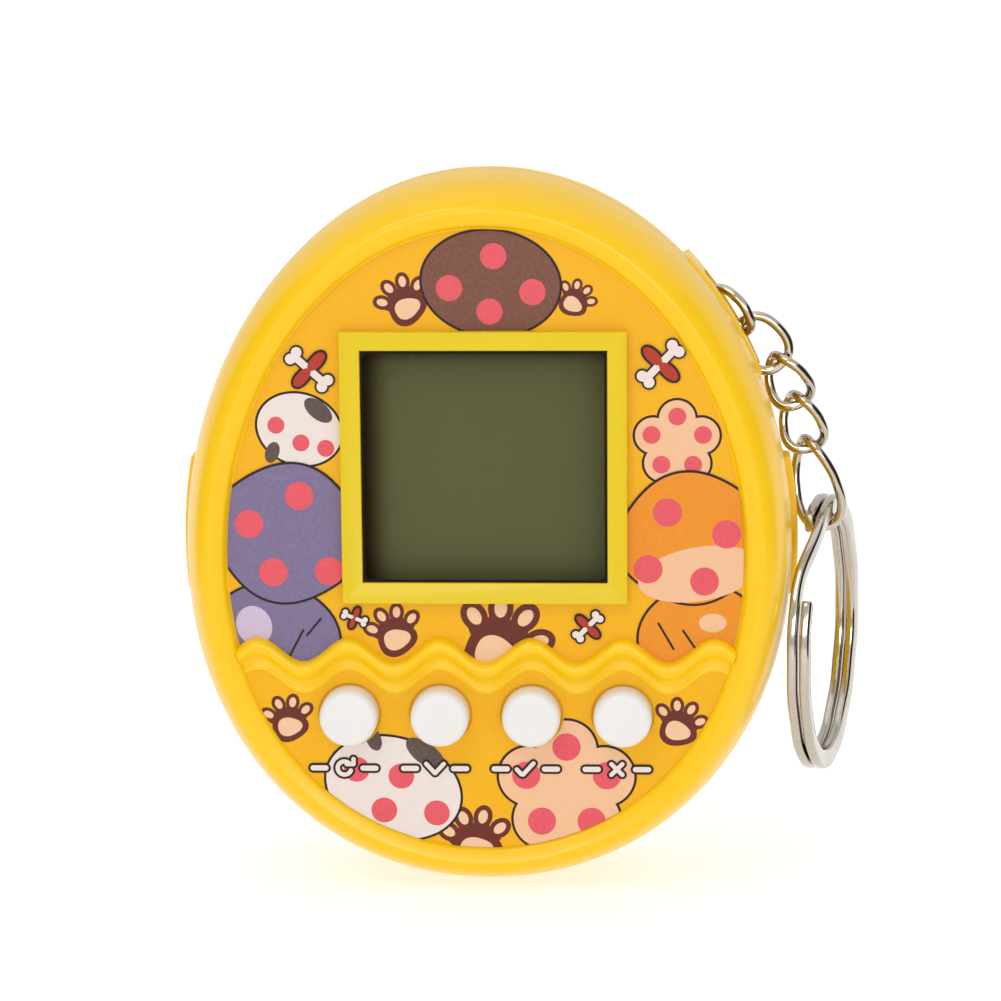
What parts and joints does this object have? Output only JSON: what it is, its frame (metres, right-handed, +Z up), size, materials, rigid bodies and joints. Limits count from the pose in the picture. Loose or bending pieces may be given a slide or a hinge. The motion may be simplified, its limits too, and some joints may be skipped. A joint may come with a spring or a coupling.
{
  "type": "virtual pet keychain",
  "caption": "Egg-shaped handheld game with a square screen in a raised frame, a scalloped ridge over round buttons, and a curb chain with a split ring.",
  "frame": {"origin": "centre of the flat back face of the case", "axes": "+Z up along the egg's height, +Y out of the back, so the screen faces -Y and the chain is at +X"},
  "size_m": [0.0512, 0.0233, 0.053],
  "materials": {
    "case_yellow": "satin moulded ABS",
    "face_print": "printed ink on the recessed face",
    "button_white": "satin white",
    "lens_clear": "clear polished acrylic",
    "lcd_film": "grey-green polarising film",
    "lcd_glass": "polished",
    "reflector_grey": "brushed reflector film",
    "zebra_rubber": "layered silicone",
    "silicone": "matt translucent",
    "carbon": "matt",
    "black_plastic": "matt",
    "black_insulation": "satin",
    "red_insulation": "satin",
    "capacitor_tan": "matt",
    "brass": "rolled sheet",
    "ceramic_white": "silvered ceramic",
    "board_green": "solder mask",
    "steel": "zinc plated",
    "cell_steel": "nickel plated",
    "nickel_plate": "bright nickel plate"
  },
  "bodies": {
    "case": {"front_case": "case_yellow", "rear_case": "case_yellow", "case_screw_1": "steel", "case_screw_2": "steel", "case_screw_3": "steel", "case_screw_4": "steel", "battery_cell_left": "cell_steel", "battery_cell_right": "cell_steel", "battery_negative_contact": "steel", "battery_positive_contact": "steel", "buzzer_disc": "brass", "buzzer_ceramic": "ceramic_white", "buzzer_lead_red": "red_insulation", "buzzer_lead_black": "black_insulation", "circuit_board": "board_green", "chip_blob": "black_plastic", "clock_resistor": "black_plastic", "supply_capacitor": "capacitor_tan", "display_lens": "lens_clear", "screen_holder": "black_plastic", "lcd_polariser": "lcd_film", "lcd_glass": "lcd_glass", "lcd_reflector": "reflector_grey", "zebra_strip_top": "zebra_rubber", "zebra_strip_bottom": "zebra_rubber", "keypad_mat": "silicone"},
    "door": {"battery_door": "case_yellow", "battery_door_screw": "steel", "battery_bridge_contact": "steel"},
    "reset_key": {"reset_button": "button_white", "reset_plunger": "silicone", "reset_contact_pill": "carbon"},
    "select_key": {"select_button": "button_white", "select_plunger": "silicone", "select_contact_pill": "carbon"},
    "decide_key": {"decide_button": "button_white", "decide_plunger": "silicone", "decide_contact_pill": "carbon"},
    "cancel_key": {"cancel_button": "button_white", "cancel_plunger": "silicone", "cancel_contact_pill": "carbon"},
    "link_1": {"chain_link_1": "nickel_plate"},
    "link_2": {"chain_link_2": "nickel_plate"},
    "link_3": {"chain_link_3": "nickel_plate"},
    "link_4": {"chain_link_4": "nickel_plate"},
    "link_5": {"chain_link_5": "nickel_plate"},
    "ring": {"split_ring": "nickel_plate"}
  },
  "joints": [
    {"name": "reset_press", "type": "slide", "parent": "case", "child": "reset_key", "axis": [0, 1, 0], "range_m": [0, 0.00075], "stiffness_N_per_m": 600},
    {"name": "select_press", "type": "slide", "parent": "case", "child": "select_key", "axis": [0, 1, 0], "range_m": [0, 0.00075], "stiffness_N_per_m": 600},
    {"name": "decide_press", "type": "slide", "parent": "case", "child": "decide_key", "axis": [0, 1, 0], "range_m": [0, 0.00075], "stiffness_N_per_m": 600},
    {"name": "cancel_press", "type": "slide", "parent": "case", "child": "cancel_key", "axis": [0, 1, 0], "range_m": [0, 0.00075], "stiffness_N_per_m": 600},
    {"name": "battery_door_lift", "type": "slide", "parent": "case", "child": "door", "axis": [0, 1, 0], "range_m": [0, 0.008]},
    {"name": "link_1_swing", "type": "hinge", "parent": "case", "child": "link_1", "pos_m": [0.0166, -0.0036, 0.0158], "axis": [0, -1, 0], "range_deg": [0, 50]},
    {"name": "link_2_swing", "type": "hinge", "parent": "link_1", "child": "link_2", "pos_m": [0.01877, -0.0036, 0.01454], "axis": [0.7193, -0.0698, 0.6911], "range_deg": [-2, 20]},
    {"name": "link_3_swing", "type": "hinge", "parent": "link_2", "child": "link_3", "pos_m": [0.02133, -0.0036, 0.01206], "axis": [0.28, -0.9511, 0.1307], "range_deg": [0, 25]},
    {"name": "link_4_swing", "type": "hinge", "parent": "link_3", "child": "link_4", "pos_m": [0.02307, -0.0036, 0.00834], "axis": [0.904, -0.0698, 0.4219], "range_deg": [-2, 25]},
    {"name": "link_5_swing", "type": "hinge", "parent": "link_4", "child": "link_5", "pos_m": [0.02366, -0.0036, 0.00574], "axis": [0.3014, -0.9511, 0.0684], "range_deg": [0, 25]},
    {"name": "ring_swing", "type": "hinge", "parent": "link_5", "child": "ring", "pos_m": [0.02519, -0.0036, -0.00099], "axis": [0.9728, -0.0698, 0.2207], "range_deg": [-3, 25]}
  ]
}
